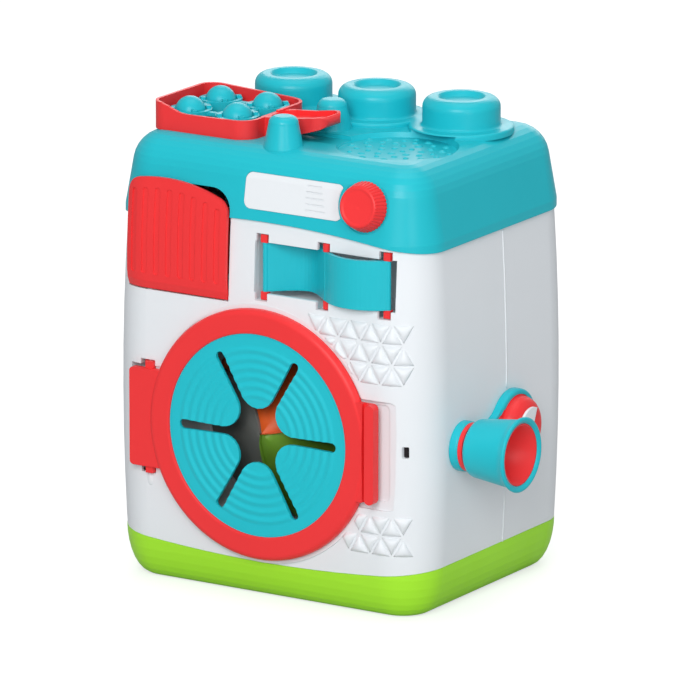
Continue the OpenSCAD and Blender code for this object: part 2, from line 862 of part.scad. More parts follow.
module top_cover() {
    color(teal) difference() {
        union() {
            difference() {
                swept(cover_profile(0, 236));
                swept(cover_profile(wall, 235));
                along_y(high_arch_r, high_joint_z - high_arch_r);
            }
            stud_places()
                stud_foot();
            // thicker places under the patch, under the tray and behind the knob
            translate([patch_x, patch_y, top_z - patch_h - 2.4])
                cylinder(r = patch_r + 2, h = patch_h, $fn = 120);
            box([tray_right - 4, lever_mid_y - 18, top_z - wall - 2.4], [patch_x, lever_mid_y + 18, top_z - wall / 2]);
            on_panel()
                translate([0, 0, -wall - 5])
                    cylinder(r = 7, h = wall + 4, $fn = 60);
            on_panel()
                for (x = [-12, 12])
                    translate([x, 8.4, -wall - 11])
                        cylinder(r = 2.2, h = wall + 10, $fn = 32);
            corner_places(cover_boss_x, cover_boss_y)
                translate([0, 0, cover_boss_low])
                    cylinder(r = boss_r, h = 42, $fn = 48);
        }
        // flat bed under the soap tray, and the channel of its lever
        translate([0, 0, tray_bed_z])
            linear_extrude(height = 20)
                pill(tray_left - 12, tray_front - 1, tray_right + 1, tray_back + 1, tray_corner_r + 1);
        translate([0, 0, top_z - 2.5])
            linear_extrude(height = 20)
                pill(tray_right - 2, lever_mid_y - lever_w / 2 + 3, patch_x, lever_mid_y + lever_w / 2 - 1, 6);
        translate([patch_x, patch_y, top_z - patch_h])
            cylinder(r1 = patch_r, r2 = patch_r + 2.4, h = patch_h + 2, $fn = 120);
        stud_places()
            rotate_extrude($fn = 96)
                polygon(stud_profile(wall));
        difference() {
            out_front(0, -70, 0)
                linear_extrude(height = 60)
                    panel_outline(0.15);
            swept(cover_profile(panel_t + 0.05, 237));
        }
        on_panel() {
            translate([0, 0, -0.8])
                cylinder(r = knob_r + 1.2, h = 10, $fn = 96);
            translate([0, 0, -20])
                cylinder(r = knob_shaft_r + run_gap, h = 30, $fn = 48);
            translate([-12.4, 7.5, -wall - 12])
                cube([24.8, 1.8, 6.8]);
        }
        flap_hole();
        corner_places(cover_boss_x, cover_boss_y)
            translate([0, 0, cover_boss_low - 1])
                cylinder(r = pilot_r, h = 20, $fn = 32);
    }
    color(teal) {
        difference() {
            stud_places()
                rotate_extrude($fn = 96)
                    polygon(stud_profile(0));
            stud_places()
                rotate_extrude($fn = 96)
                    polygon(stud_profile(wall));
        }
        difference() {
            post_places()
                post();
            translate([post_x, post_rear_y - 6, tray_pin_z])
                rotate([90, 0, 0])
                    cylinder(r = tray_pin_r, h = post_rear_y - post_front_y - 13, $fn = 40);
        }
        // bubbles of the scrubbing patch, laid out on a spiral
        for (i = [0:bubbles - 1])
            let (r = (patch_r - 3) * sqrt((i + 0.5) / bubbles), s = 2.4 + 0.9 * (i % 3))
                translate([patch_x + r * cos(137.5 * i), patch_y + r * sin(137.5 * i), top_z - patch_h - s + 1.1])
                    sphere(r = s, $fn = 48);
    }
}

module control_panel() {
    color(white) difference() {
        intersection() {
            out_front(0, -70, 0)
                linear_extrude(height = 60)
                    panel_outline(0);
            difference() {
                swept(cover_profile(0, 236));
                swept(cover_profile(panel_t, 235));
            }
        }
        for (i = [0:4])
            translate([31, cover_y(panel_low + 4 + 3.9 * i) - 1, panel_low + 3.6 + 3.9 * i])
                cube([15 - i, 1.5, 0.8]);
    }
}

// ---- knob ----

knob_draw = 2.4;
knob_lean = atan(knob_draw / (knob_h - 2.2));

module knob() {
    color(red) on_panel() difference() {
        rotate_extrude($fn = 120)
            polygon(concat([[0, 0], [knob_r, 0]], arc(knob_r - knob_draw - 2.2, knob_h - 2.2, 2.2, knob_lean, 90, 6),
                [[knob_r - knob_draw - 3.6, knob_h - 0.5], [0, knob_h - 0.9]]));
        // grip grooves down the tapered side
        for (i = [0:knob_ribs - 1])
            rotate(360 / knob_ribs * i)
                translate([knob_r + 0.35, 0, 0])
                    rotate([0, -knob_lean, 0])
                        translate([0, 0, -1])
                            cylinder(r = 0.75, h = knob_h + 1, $fn = 24);
        difference() {
            translate([0, 0, -1])
                cylinder(r = knob_r - knob_draw - 3, h = knob_h - 1.6, $fn = 96);
            cylinder(r = knob_shaft_r + 2.4, h = knob_h, $fn = 60);
        }
        translate([0, 0, -1])
            cylinder(r = knob_shaft_r, h = knob_h - 2.4, $fn = 48);
    }
}

module knob_spindle() {
    color(pale) on_panel() {
        translate([0, 0, -wall - 8.8])
            cylinder(r = knob_shaft_r, h = wall + knob_h + 5.4, $fn = 48);
        translate([0, 0, -wall - 8.8])
            difference() {
                cylinder(r = knob_shaft_r + 3.5, h = 3.5, $fn = 60);
                for (i = [0:11])
                    rotate(30 * i)
                        translate([knob_shaft_r + 4, 0, -1])
                            cylinder(r = 1.2, h = 6, $fn = 24);
            }
    }
}

module knob_spring() {
    color(steel) on_panel() {
        translate([-12.3, 8, -wall - 8.7])
            cube([24.6, 0.8, 3.2]);
        translate([0, knob_shaft_r + 5, -wall - 8.7])
            cylinder(r = 0.9, h = 3.2, $fn = 32);
    }
}

// ---- detergent flap ----

function flap_out(z) = z < flap_low + 12
    ? 1.1 - 3 * (1 - sqrt(1 - pow((flap_low + 12 - z) / 12.2, 2)))
    : 1.1 - 4 * pow((z - flap_low - 12) / 65, 2);

function flap_profile(inset, low, high, steps = 15) =
    [for (i = [0:steps]) let (z = low + (high - low) * i / steps) [flap_out(max(z, flap_low)) - inset, z]];

// the inner face runs straight down, so the lower edge stays thick
function flap_inner_profile(steps = 7) = concat([[flap_out(flap_low) - flap_t + 0.6, flap_low - 2]],
    [for (i = [1:steps]) let (z = flap_low + (flap_high - flap_low + 6) * i / steps) [flap_out(z) - flap_t, z]]);

module flap_outline() {
    top = flap_high - flap_arch_r;
    r = flap_arch_r - flap_corner_r;
    right = flap_right - flap_corner_r - flap_crown_x;
    left = flap_crown_x - flap_left - flap_corner_r;
    zr = sqrt(r * r - right * right);
    zl = sqrt(r * r - left * left);
    ar = atan2(zr, right);
    al = atan2(zl, -left);
    polygon(concat([[flap_left, flap_low], [flap_right, flap_low]],
        arc(flap_crown_x + right, top + zr, flap_corner_r, 0, ar, 6),
        arc(flap_crown_x, top, flap_arch_r, ar + 2, al - 2, 14),
        arc(flap_crown_x - left, top + zl, flap_corner_r, al, 180, 6)));
}

function flap_arch_z(x) =
    flap_high - flap_arch_r + sqrt(pow(flap_arch_r, 2) - pow(x - flap_crown_x, 2));

module bin_side(front) {
    rotate([90, 0, 90])
        linear_extrude(height = bin_t)
            intersection() {
                circle(r = bin_r, $fn = 180);
                polygon([[front, 0], [0, 0], [2 * bin_r * sin(bin_angle), 2 * bin_r * cos(bin_angle)],
                    [front, 2 * bin_r]]);
                translate([-20, 0])
                    square([80, bin_r - 3]);
            }
}

module detergent_flap() {
    color(red) difference() {
        union() {
            intersection() {
                difference() {
                    swept(flap_profile(0, flap_low, flap_high + 4));
                    swept(flap_inner_profile());
                }
                out_front(0, -50, 0)
                    linear_extrude(height = 80)
                        flap_outline();
            }
            // hinge barrel and the soap bin behind the flap
            flap_axis(flap_ears[0] + flap_ear_w + 0.4, flap_ears[1] - 0.4, 2.2);
            translate([bin_left, flap_axis_y, flap_axis_z])
                bin_side(-0.6);
            translate([bin_right - bin_t, flap_axis_y, flap_axis_z])
                bin_side(-2.5);
            translate([bin_left, flap_axis_y, flap_axis_z])
                rotate([-bin_angle, 0, 0])
                    translate([-0.5, -bin_t, 0])
                        cube([bin_right - bin_left + 1, bin_t, bin_r - 1]);
        }
        // finger flutes
        difference() {
            out_front(0, -50, 0)
                linear_extrude(height = 80)
                    for (i = [0:flap_grooves - 1])
                        let (x = flap_right - 7.5 - 9.3 * i)
                            pill(x - 2.1, flap_low + 10, x + 2.1, flap_arch_z(x) - 7, 2);
            swept(flap_profile(0.6, flap_low - 1, flap_high + 6));
        }
        for (x = flap_ears) {
            flap_axis(x - 0.4, x + flap_ear_w + 0.4, flap_ear_r + 0.3);
            intersection() {
                flap_axis(x - 0.4, x + flap_ear_w + 0.4, 7.2);
                box([x - 1, flap_axis_y, 0], [x + flap_ear_w + 1, 0, 250]);
            }
        }
        flap_axis(flap_ears[0], flap_ears[1] + flap_ear_w, flap_pin_r + run_gap);
    }
}

module flap_pin() {
    color(steel)
        flap_axis(flap_ears[0], flap_ears[1] + flap_ear_w, flap_pin_r);
}

// ---- wave ----

function wave_mid(u) = [window_x + wave_arm * u,
    wave_y - (wave_in + wave_out) / 2 * sin(180 * u) + (wave_in - wave_out) / 4 * (1 - cos(360 * u))];

function wave_side(u, off) = let (d = wave_mid(u + 0.01) - wave_mid(u - 0.01), n = [-d[1], d[0]] / norm(d))
    wave_mid(u) + n * off;

module wave_axes() {
    for (i = [-1:1])
        translate([window_x + i * wave_arm, wave_y, 0])
            children();
}

module wave() {
    color(teal) difference() {
        translate([0, 0, window_low + move_gap]) {
            linear_extrude(height = window_high - window_low - 2 * move_gap)
                polygon(concat([for (i = [0:32]) wave_side(i / 16 - 1, wave_t / 2)],
                    [for (i = [32:-1:0]) wave_side(i / 16 - 1, -wave_t / 2)]));
            wave_axes()
                cylinder(r = wave_pin_r + 0.7, h = window_high - window_low - 2 * move_gap, $fn = 48);
        }
        wave_axes()
            translate([0, 0, window_low - 1])
                cylinder(r = wave_pin_r, h = window_high - window_low + 2, $fn = 40);
    }
}

module wave_pins() {
    low = housing_low + 0.5;
    color(red) {
        wave_axes()
            translate([0, 0, low])
                cylinder(r = wave_pin_r, h = housing_high - 0.5 - low, $fn = 40);
        translate([window_x, wave_y, housing_low - 3.4])
            cylinder(r = wave_pin_r, h = housing_high - housing_low + 6.8, $fn = 40);
        for (z = [low, window_high - move_gap]) {
            translate([window_x, wave_y, z])
                cylinder(r = 2.4, h = window_low + move_gap - low, $fn = 48);
            for (i = [-1, 1])
                translate([window_x + i * wave_arm - lug_w / 2, wave_y - 1.9, z])
                    cube([lug_w, 3.8, window_low + move_gap - low]);
        }
    }
}

module wave_housing() {
    color(pale) difference() {
        intersection() {
            translate([window_x, wave_y, housing_low - housing_t])
                cylinder(r = housing_r + housing_t, h = housing_high - housing_low + 2 * housing_t, $fn = 180);
            swept(white_profile(wall + 0.3, 190, 256));
            box([-100, -120, 0], [200, 0, 300]);
        }
        intersection() {
            translate([window_x, wave_y, housing_low])
                cylinder(r = housing_r, h = housing_high - housing_low, $fn = 180);
        }
        box([window_x - 6, -120, 0], [window_x + 6, wave_y + 5, 300]);
    }
}

// ---- door ----

module door_place() {
    out_front(0, seat_y, door_z)
        children();
}

membrane_back = 2.7;
membrane_front = membrane_back + membrane_t;

module handle_outline(r, left, right) {
    pill(left, -plate_half, right, plate_half, r);
}

module door_ring() {
    hx = hinge_x;
    color(red) difference() {
        union() {
            door_place()
                rotate_extrude($fn = 180)
                    polygon(concat([[membrane_r - 0.5, 0.1], [ring_r - 0.6, 0.1], [ring_r, 0.7]],
                        arc(ring_r - 4, ring_t - 4, 4, 0, 90, 6),
                        [[membrane_r + 0.9, ring_t], [membrane_r - 0.1, ring_t - 0.4],
                        [membrane_r - 0.5, ring_t - 1.2]]));
            // hinge plate
            door_place()
                translate([0, 0, 1.25])
                    linear_extrude(height = 4)
                        pill(hx - 13, -plate_half, -membrane_r, plate_half, 3);
            translate([hx, hinge_y, door_z - knuckle_half])
                cylinder(r = knuckle_r, h = 2 * knuckle_half, $fn = 60);
            box([hx - 1.5, seat_y - 3.6, door_z - knuckle_half], [hx + knuckle_r, hinge_y, door_z + knuckle_half]);
            // handle: a tab with a groove, and the grip along its edge
            door_place()
                translate([0, 0, 1.7])
                    linear_extrude(height = 4)
                        pill(ring_r - 12, -plate_half, 90, plate_half, 3);
            door_place()
                translate([0, 0, 2.6])
                    linear_extrude(height = 6.4)
                        pill(84, -plate_half, 91, plate_half, 3.4);
        }
        door_place() {
            translate([0, 0, -1])
                cylinder(r = membrane_r + 3.7, h = membrane_front + 1, $fn = 180);
            translate([0, 0, -10])
                cylinder(r = membrane_r - 0.5, h = 30, $fn = 180);
            translate([0, 0, 3.1])
                linear_extrude(height = 10)
                    pill(80.5, -plate_half - 4, 84, plate_half + 4, 1.7);
        }
        translate([hx, hinge_y, door_z - 60])
            cylinder(r = hinge_pin_r + run_gap, h = 120, $fn = 60);
    }
}

// the tip of a petal is a circle that touches both its slits; half the width of a slit at radius r
petal_mid = (petal_r - slit_neck_w / 2) / (1 - sin(180 / slits));
petal_round = petal_mid - petal_r;
petal_end = petal_mid * cos(180 / slits);
slit_last = slit_r - slit_end_w / 2;

function slit_half(r) = r < petal_end
    ? petal_mid * sin(180 / slits) - sqrt(pow(petal_round, 2) - pow(petal_end - r, 2))
    : (slit_neck_w + (slit_end_w - slit_neck_w) * pow((r - petal_end) / (slit_last - petal_end), 2)) / 2;

function turned(p, a) = [p[0] * cos(a) - p[1] * sin(a), p[0] * sin(a) + p[1] * cos(a)];

// all the slits as one star
module star() {
    low = petal_r * cos(180 / slits);
    step = (slit_last - low) / 15;
    side = [for (i = [0:14]) [low + step * i, slit_half(low + step * i)]];
    polygon([for (k = [0:slits - 1]) for (p = concat([for (q = side) [q[0], -q[1]]],
        arc(slit_last, 0, slit_end_w / 2, -90, 90, 8), [for (i = [14:-1:1]) side[i]])) turned(p, 360 / slits * k)]);
}

module door_membrane() {
    pitch = (slit_r - 24) / ridges;
    color(teal) difference() {
        door_place()
            translate([0, 0, membrane_back])
                rotate_extrude($fn = 180)
                    polygon(concat([[0, 0], [membrane_r + 3.5, 0], [membrane_r + 3.5, membrane_t],
                        [slit_r + 3, membrane_t]],
                        [for (i = [0:ridges * 6]) let (r = slit_r - pitch * i / 6)
                            [r, membrane_t + 0.35 - 0.35 * cos(60 * i)]],
                        [[0, membrane_t]]));
        door_place()
            translate([0, 0, -5])
                linear_extrude(height = 20)
                    star();
    }
}

module door_retainer() {
    color(red) door_place()
        translate([0, 0, 0.4])
            tube(membrane_r + 3.5, slit_r + 3.5, membrane_back - 0.4);
}

module door_pin() {
    color(steel)
        translate([hinge_x, hinge_y, door_z - knuckle_half - 7.6])
            cylinder(r = hinge_pin_r, h = 2 * knuckle_half + 15.2, $fn = 40);
}

module catch_spring() {
    color(grey)
        translate([half_x, -half_y, door_z - 6])
            rotate(-50)
                translate([corner_r - wall - 3.6, -8, 0])
                    cube([1.2, 16, 16]);
}

// ---- drum ----

module drum() {
    color(pale) difference() {
        union() {
            out_front(0, drum_back_y + 2.4, door_z)
                tube(drum_r, drum_r - drum_wall, drum_back_y + 2.4 - drum_front_y);
            out_front(0, drum_back_y + 2.4, door_z)
                cylinder(r = drum_r - 1, h = 2.4, $fn = 120);
            out_front(0, drum_back_y + 6.7, door_z)
                cylinder(r = hub_r, h = drum_back_y + 6.7 - nose_y - 8.5, $fn = 60);
            // ledge behind the rim of the spinner
            out_front(0, nose_y + spinner_depth + 4.6, door_z)
                tube(drum_r - 1, spinner_r - 6, 2);
        }
        out_front(0, drum_back_y + 10, door_z)
            cylinder(r = spindle_r, h = 22, $fn = 48);
    }
}

function spiral(r, a) = r * [cos(a + vane_twist * r / spinner_r), sin(a + vane_twist * r / spinner_r)];

module spiral_band(a0, a1, steps) {
    polygon(concat([for (i = [0:12]) spiral((spinner_r + 4) * i / 12, a0)],
        [for (i = [1:steps]) spiral(spinner_r + 4, a0 + (a1 - a0) * i / steps)],
        [for (i = [11:-1:1]) spiral((spinner_r + 4) * i / 12, a1)]));
}

module spinner_cone(from, thick) {
    rotate_extrude($fn = 120)
        polygon([[0, from], [spinner_r, from - spinner_depth], [spinner_r, from - spinner_depth - thick],
            [0, from - thick]]);
}

// one third of the spinner with the raised rib on its leading edge
module vane(start) {
    out_front(0, nose_y, door_z) {
        intersection() {
            spinner_cone(0, 2.2);
            translate([0, 0, -60])
                linear_extrude(height = 80)
                    spiral_band(start, start + 119, 12);
        }
        intersection() {
            spinner_cone(2.2, 3.2);
            translate([0, 0, -60])
                linear_extrude(height = 80)
                    spiral_band(start, start + 5, 2);
        }
    }
}

module vane_orange() {
    color(orange) vane(0);
}

module vane_grey() {
    color(grey) vane(120);
}

module vane_green() {
    color(green) vane(240);
}

module drum_spindle() {
    color(steel)
        out_front(0, tub_back_y + 12, door_z)
            cylinder(r = spindle_r, h = 32, $fn = 48);
}

module drum_clip() {
    color(steel)
        out_front(0, tub_back_y + 11.5, door_z)
            tube(hub_r - 1, spindle_r, 1.2);
}

module tub_screw_places() {
    for (a = [45:90:315])
        translate([tub_screw_r * cos(a), 0, door_z + tub_screw_r * sin(a)])
            children();
}

module tub() {
    color(pale) difference() {
        union() {
            out_front(0, tub_back_y + 3, door_z)
                cylinder(r = tub_r + tub_t, h = tub_back_y + 3 - tub_front_y, $fn = 120);
            intersection() {
                out_front(0, tub_front_y + tub_flange_t, door_z)
                    cylinder(r = tub_screw_r + head_r + 0.6, h = tub_flange_t, $fn = 120);
                box([pocket_right + 2.8, -120, base_lip_z + 6.4], [-pocket_right, 0, 250]);
            }
            out_front(0, tub_back_y + 10, door_z)
                cylinder(r = hub_r, h = 10, $fn = 60);
        }
        out_front(0, tub_back_y, door_z)
            cylinder(r = tub_r, h = 170, $fn = 120);
        out_front(0, tub_back_y + 12, door_z)
            cylinder(r = spindle_r + run_gap, h = 20, $fn = 60);
        tub_screw_places()
            out_front(0, tub_front_y + 5, 0)
                cylinder(r = screw_free_r, h = 10, $fn = 32);
    }
}

module tub_screws() {
    color(steel)
        tub_screw_places()
            out_back(0, tub_front_y + tub_flange_t - 5, 0)
                screw(5);
}

// ---- soap tray ----

function rim_front(x) = x > -76 ? tray_floor_z + tray_h + (x + 76) / 70
    : tray_floor_z + tray_h + (tray_h_left - tray_h) * (1 - cos(min(180, (-76 - x) * 8))) / 2;

function rim_back(x) = tray_floor_z + tray_h_left - (x - tray_left) / 18;

module tray_lever_side() {
    z = tray_floor_z;
    polygon(concat([[tray_right - 3, z], [tray_right, z], [tray_right + 0.8, z + 1.3],
        [tray_right + 12, z + 2.2], [post_x, z + 4.2], [post_x + 10, z + 7.2], [lever_tip - 2.5, z + 9.4]],
        arc(lever_tip - 4, z + 13.2, 4, -40, 80, 5),
        [[post_x + 9, z + 16.4], [post_x - 2, z + 14.8], [post_x - 12, z + 14], [tray_right, z + 13.2],
        [tray_right - 3, z + 13.2]]));
}

module soap_tray() {
    color(red) difference() {
        union() {
            difference() {
                translate([0, 0, tray_floor_z])
                    linear_extrude(height = tray_h_left + 1)
                        pill(tray_left, tray_front, tray_right, tray_back, tray_corner_r);
                translate([0, 0, tray_floor_z + tray_floor_t])
                    linear_extrude(height = 40)
                        pill(tray_left + tray_t, tray_front + tray_t, tray_right - tray_t, tray_back - tray_t,
                            tray_corner_r - tray_t);
                // sloping rims in front and at the back
                translate([0, tray_mid_y, 0])
                    rotate([90, 0, 0])
                        linear_extrude(height = 60)
                            polygon(concat([for (i = [0:16]) let (x = tray_left - 1 + 5 * i) [x, rim_front(x)]],
                                [[0, 340], [tray_left - 1, 340]]));
                translate([0, tray_mid_y + 60, 0])
                    rotate([90, 0, 0])
                        linear_extrude(height = 60)
                            polygon([[tray_left - 1, rim_back(tray_left - 1)], [0, rim_back(0)], [0, 340],
                                [tray_left - 1, 340]]);
            }
            intersection() {
                translate([0, lever_mid_y + lever_w / 2, 0])
                    rotate([90, 0, 0])
                        linear_extrude(height = lever_w)
                            tray_lever_side();
                translate([0, 0, 280])
                    linear_extrude(height = 60)
                        pill(tray_right - 20, lever_mid_y - lever_w / 2, lever_tip, lever_mid_y + lever_w / 2, 9);
            }
        }
        // scoop along the top of the lever
        intersection() {
            translate([0, lever_mid_y + lever_w / 2, 3.2 - 6.4])
                rotate([90, 0, 0])
                    linear_extrude(height = lever_w)
                        difference() {
                            translate([tray_right + 1, 0])
                                square([60, 400]);
                            tray_lever_side();
                            translate([-100, 0])
                                square([200, tray_floor_z + 12]);
                        }
            translate([0, 0, 280])
                linear_extrude(height = 60)
                    pill(tray_right + 1, lever_mid_y - lever_w / 2 + 2.2, lever_tip - 2.2,
                        lever_mid_y + lever_w / 2 - 2.2, 7);
        }
        translate([post_x, 0, tray_pin_z])
            rotate([90, 0, 0])
                cylinder(r = tray_pin_r + run_gap, h = 200, center = true, $fn = 40);
        ball_places()
            cylinder(r = 6.6, h = 100, center = true, $fn = 60);
    }
}

module ball_places() {
    for (x = [-1, 1], y = [-1, 1])
        translate([tray_mid_x + x * ball_pitch / 2, tray_mid_y + y * ball_pitch / 2, ball_z])
            children();
}

// four collars joined by bars, each with claws that close over its ball
module ball_cage() {
    low = tray_floor_z + tray_floor_t - ball_z;
    color(teal) {
        difference() {
            union() {
                ball_places()
                    translate([0, 0, low])
                        cylinder(r = ball_r + 4.2, h = 2 - low, $fn = 96);
                for (i = [-1, 1]) {
                    translate([tray_mid_x - ball_pitch / 2, tray_mid_y + i * ball_pitch / 2 - 2, ball_z - 1])
                        cube([ball_pitch, 4, 2.4]);
                    translate([tray_mid_x + i * ball_pitch / 2 - 2, tray_mid_y - ball_pitch / 2, ball_z - 1])
                        cube([4, ball_pitch, 2.4]);
                }
            }
            ball_places()
                translate([0, 0, low - 1])
                    cylinder(r = ball_r + 1.2, h = 20, $fn = 96);
        }
        ball_places()
            for (a = [45:90:315])
                rotate(a)
                    translate([ball_r + 0.1, -1.6, 1.2])
                        cube([3.4, 3.2, 2.2]);
    }
}

module ball(x, y) {
    color(teal)
        translate([tray_mid_x + x * ball_pitch / 2, tray_mid_y + y * ball_pitch / 2, ball_z])
            sphere(r = ball_r, $fn = 96);
}

module ball_1() {
    ball(-1, -1);
}

module ball_2() {
    ball(1, -1);
}

module ball_3() {
    ball(-1, 1);
}

module ball_4() {
    ball(1, 1);
}

module tray_pin() {
    color(steel)
        translate([post_x, post_rear_y - 6, tray_pin_z])
            rotate([90, 0, 0])
                cylinder(r = tray_pin_r, h = post_rear_y - post_front_y - 13, $fn = 40);
}

// ---- side funnel ----

lobe_gap = dome_y - funnel_y;
neck_along = (pow(lobe_front_r + neck_r, 2) - pow(lobe_rear_r + neck_r, 2) + lobe_gap * lobe_gap) / (2 * lobe_gap);
neck_off = sqrt(pow(lobe_front_r + neck_r, 2) - neck_along * neck_along);
collar_h = 9.2;

// waist between the two lobes, with hollow sides
module neck_outline(g) {
    difference() {
        polygon([[0, 0], [neck_along, neck_off], [lobe_gap, 0], [neck_along, -neck_off]]);
        for (s = [-1, 1])
            translate([neck_along, s * neck_off])
                circle(r = neck_r + 0.1 + g, $fn = 120);
    }
}

module lobe(r, h) {
    rotate_extrude($fn = 120)
        polygon(concat([[0, 0], [r, 0]], arc(r - plate_edge, h - plate_edge, plate_edge, 0, 90, 5), [[0, h]]));
}

module funnel_base() {
    color(teal) {
        out_right(funnel_y)
            difference() {
                union() {
                    lobe(lobe_front_r, plate_t);
                    translate([lobe_gap, 0, 0])
                        lobe(lobe_rear_r, plate_t);
                    linear_extrude(height = plate_t - 0.6)
                        neck_outline(0);
                }
                translate([0, 0, plate_t - 1.6])
                    linear_extrude(height = 10)
                        funnel_inset(0);
                translate([0, 0, -4])
                    cylinder(r = pilot_r, h = 30, $fn = 32);
                translate([lobe_gap, 0, 1.6])
                    cylinder(r = dome_r - 2.6, h = 10, $fn = 96);
            }
        for (y = [funnel_y, dome_y])
            out_right(y)
                difference() {
                    translate([0, 0, -4])
                        cylinder(r = stem_r, h = 5, $fn = 48);
                    translate([0, 0, -5])
                        cylinder(r = pilot_r, h = 10, $fn = 32);
                }
    }
}

module funnel_inset(g) {
    circle(r = lobe_front_r - 1.6 - g, $fn = 96);
    neck_outline(2 + g);
    translate([lobe_gap, 0])
        circle(r = lobe_rear_r - 3.4 - g, $fn = 96);
}

module funnel_cover() {
    color(red) out_right(funnel_y)
        difference() {
            union() {
                translate([0, 0, plate_t - 1.6])
                    linear_extrude(height = 1.4)
                        funnel_inset(0.15);
                translate([0, 0, plate_t])
                    cylinder(r = lobe_front_r - 0.6, h = collar_h - plate_t, $fn = 96);
                translate([0, 0, plate_t - 1.6])
                    cylinder(r = lobe_front_r - 4, h = 3, $fn = 96);
                translate([0, 0, collar_h - 1])
                    cylinder(r = axle_r, h = 6, $fn = 60);
                translate([lobe_gap, 0, plate_t - 1.6])
                    rotate_extrude($fn = 96)
                        polygon(concat([[0, 0], [dome_r, 0]],
                            arc(dome_r - dome_h + 1, 2.6, dome_h - 1, 0, 90, 7), [[0, dome_h + 1.6]]));
            }
            translate([0, 0, -2])
                cylinder(r = pilot_r, h = 40, $fn = 32);
            translate([lobe_gap, 0, -2])
                cylinder(r = dome_r - 4.5, h = plate_t + dome_h - 0.4, $fn = 96);
            translate([lobe_gap, 0, -2])
                cylinder(r = lever_pin_r + run_gap, h = 40, $fn = 40);
            // slot in which the stalk of the click lever swings
            translate([lobe_gap, 0, -2])
                linear_extrude(height = 40)
                    lever_sector(8, 12, stalk_half + click_swing + 4);
        }
}

lever_pin_r = 2;
lever_mid = 106;
lever_half = 38;
stalk_half = 18;

module lever_sector(r0, r1, half) {
    difference() {
        intersection() {
            circle(r = r1, $fn = 96);
            polygon(concat([[0, 0]], [for (i = [-3:3]) let (a = lever_mid + half * i / 3) 2 * r1 * [cos(a), sin(a)]]));
        }
        circle(r = r0, $fn = 96);
    }
}

module click_lever() {
    color(white) out_right(dome_y) {
        translate([0, 0, plate_t + dome_h + 0.15])
            linear_extrude(height = 2) {
                lever_sector(3, 14.5, lever_half);
                circle(r = 4.6, $fn = 60);
            }
        translate([0, 0, plate_t + dome_h - 3])
            linear_extrude(height = 3.5)
                lever_sector(8.7, 11.3, stalk_half);
        translate([0, 0, 3])
            cylinder(r = lever_pin_r, h = plate_t + dome_h - 2, $fn = 48);
    }
}

module click_spring() {
    color(steel) out_right(dome_y)
        translate([-12, -7, 1.6])
            cube([24, 0.8, 5]);
}

module funnel() {
    low = collar_h + 0.6;
    color(teal) out_right(funnel_y)
        rotate_extrude($fn = 120)
            polygon(concat([[axle_r + run_gap, low], [funnel_r0 - 1.5, low], [funnel_r0, low + 1.5]],
                arc(funnel_r1 - 1.7, funnel_reach - 1.7, 1.7, -20, 170, 9),
                [[funnel_r0 - 2.2, low + 2.4], [axle_r + run_gap, low + 2.4]]));
}

module funnel_liner() {
    low = collar_h + 3.1;
    color(red) out_right(funnel_y)
        rotate_extrude($fn = 120)
            polygon([[axle_r + 0.4, low], [funnel_r0 - 2.5, low], [funnel_r1 - 3.9, funnel_reach - 1.6],
                [funnel_r1 - 5.1, funnel_reach - 1.6], [funnel_r0 - 3.7, low + 1.2], [axle_r + 0.4, low + 1.2]]);
}

module funnel_screw() {
    color(steel) out_right(funnel_y) {
        translate([0, 0, collar_h + 5])
            cylinder(r = 6.4, h = 0.8, $fn = 60);
        translate([0, 0, 1])
            screw(collar_h + 4.6);
    }
}

base_tray();
front_shell();
rear_shell();
top_cover();
control_panel();
knob();
knob_spindle();
knob_spring();
detergent_flap();
flap_pin();
wave();
wave_pins();
wave_housing();
door_ring();
door_membrane();
door_retainer();
door_pin();
catch_spring();
drum();
vane_orange();
vane_green();
vane_grey();
drum_spindle();
drum_clip();
tub();
soap_tray();
ball_cage();
ball_1();
ball_2();
ball_3();
ball_4();
tray_pin();
funnel_base();
funnel_cover();
click_lever();
click_spring();
funnel();
funnel_liner();
funnel_screw();
base_screws();
rear_screws();
cover_screws();
tub_screws();
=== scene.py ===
"""Looks of the toy washing machine: materials, moulded details, light and camera round the CAD frame."""

import json
import math

import bpy
from mathutils import Matrix, Vector


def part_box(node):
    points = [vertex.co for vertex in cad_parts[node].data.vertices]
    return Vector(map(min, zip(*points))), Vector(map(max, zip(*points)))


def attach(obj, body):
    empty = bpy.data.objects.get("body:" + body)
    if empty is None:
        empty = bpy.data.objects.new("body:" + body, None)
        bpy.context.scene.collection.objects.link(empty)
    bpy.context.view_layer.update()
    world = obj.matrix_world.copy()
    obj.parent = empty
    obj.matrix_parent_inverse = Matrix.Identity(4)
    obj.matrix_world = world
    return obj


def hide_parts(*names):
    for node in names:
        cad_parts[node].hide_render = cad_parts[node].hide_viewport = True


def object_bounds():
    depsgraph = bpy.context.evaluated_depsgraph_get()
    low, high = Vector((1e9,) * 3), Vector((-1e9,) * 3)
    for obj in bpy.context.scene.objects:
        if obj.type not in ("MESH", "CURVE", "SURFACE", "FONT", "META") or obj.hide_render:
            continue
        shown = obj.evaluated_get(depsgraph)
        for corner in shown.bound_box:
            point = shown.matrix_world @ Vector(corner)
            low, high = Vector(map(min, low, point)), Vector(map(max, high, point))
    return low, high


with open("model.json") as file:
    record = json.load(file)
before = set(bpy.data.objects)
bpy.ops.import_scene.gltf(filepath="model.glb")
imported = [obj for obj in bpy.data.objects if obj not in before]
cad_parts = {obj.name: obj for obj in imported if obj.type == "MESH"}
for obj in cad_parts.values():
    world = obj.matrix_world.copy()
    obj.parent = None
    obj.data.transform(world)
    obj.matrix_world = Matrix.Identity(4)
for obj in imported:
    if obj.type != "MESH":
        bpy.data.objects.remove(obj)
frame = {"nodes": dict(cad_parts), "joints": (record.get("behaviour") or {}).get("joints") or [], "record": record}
cad_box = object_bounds()
scene = bpy.context.scene

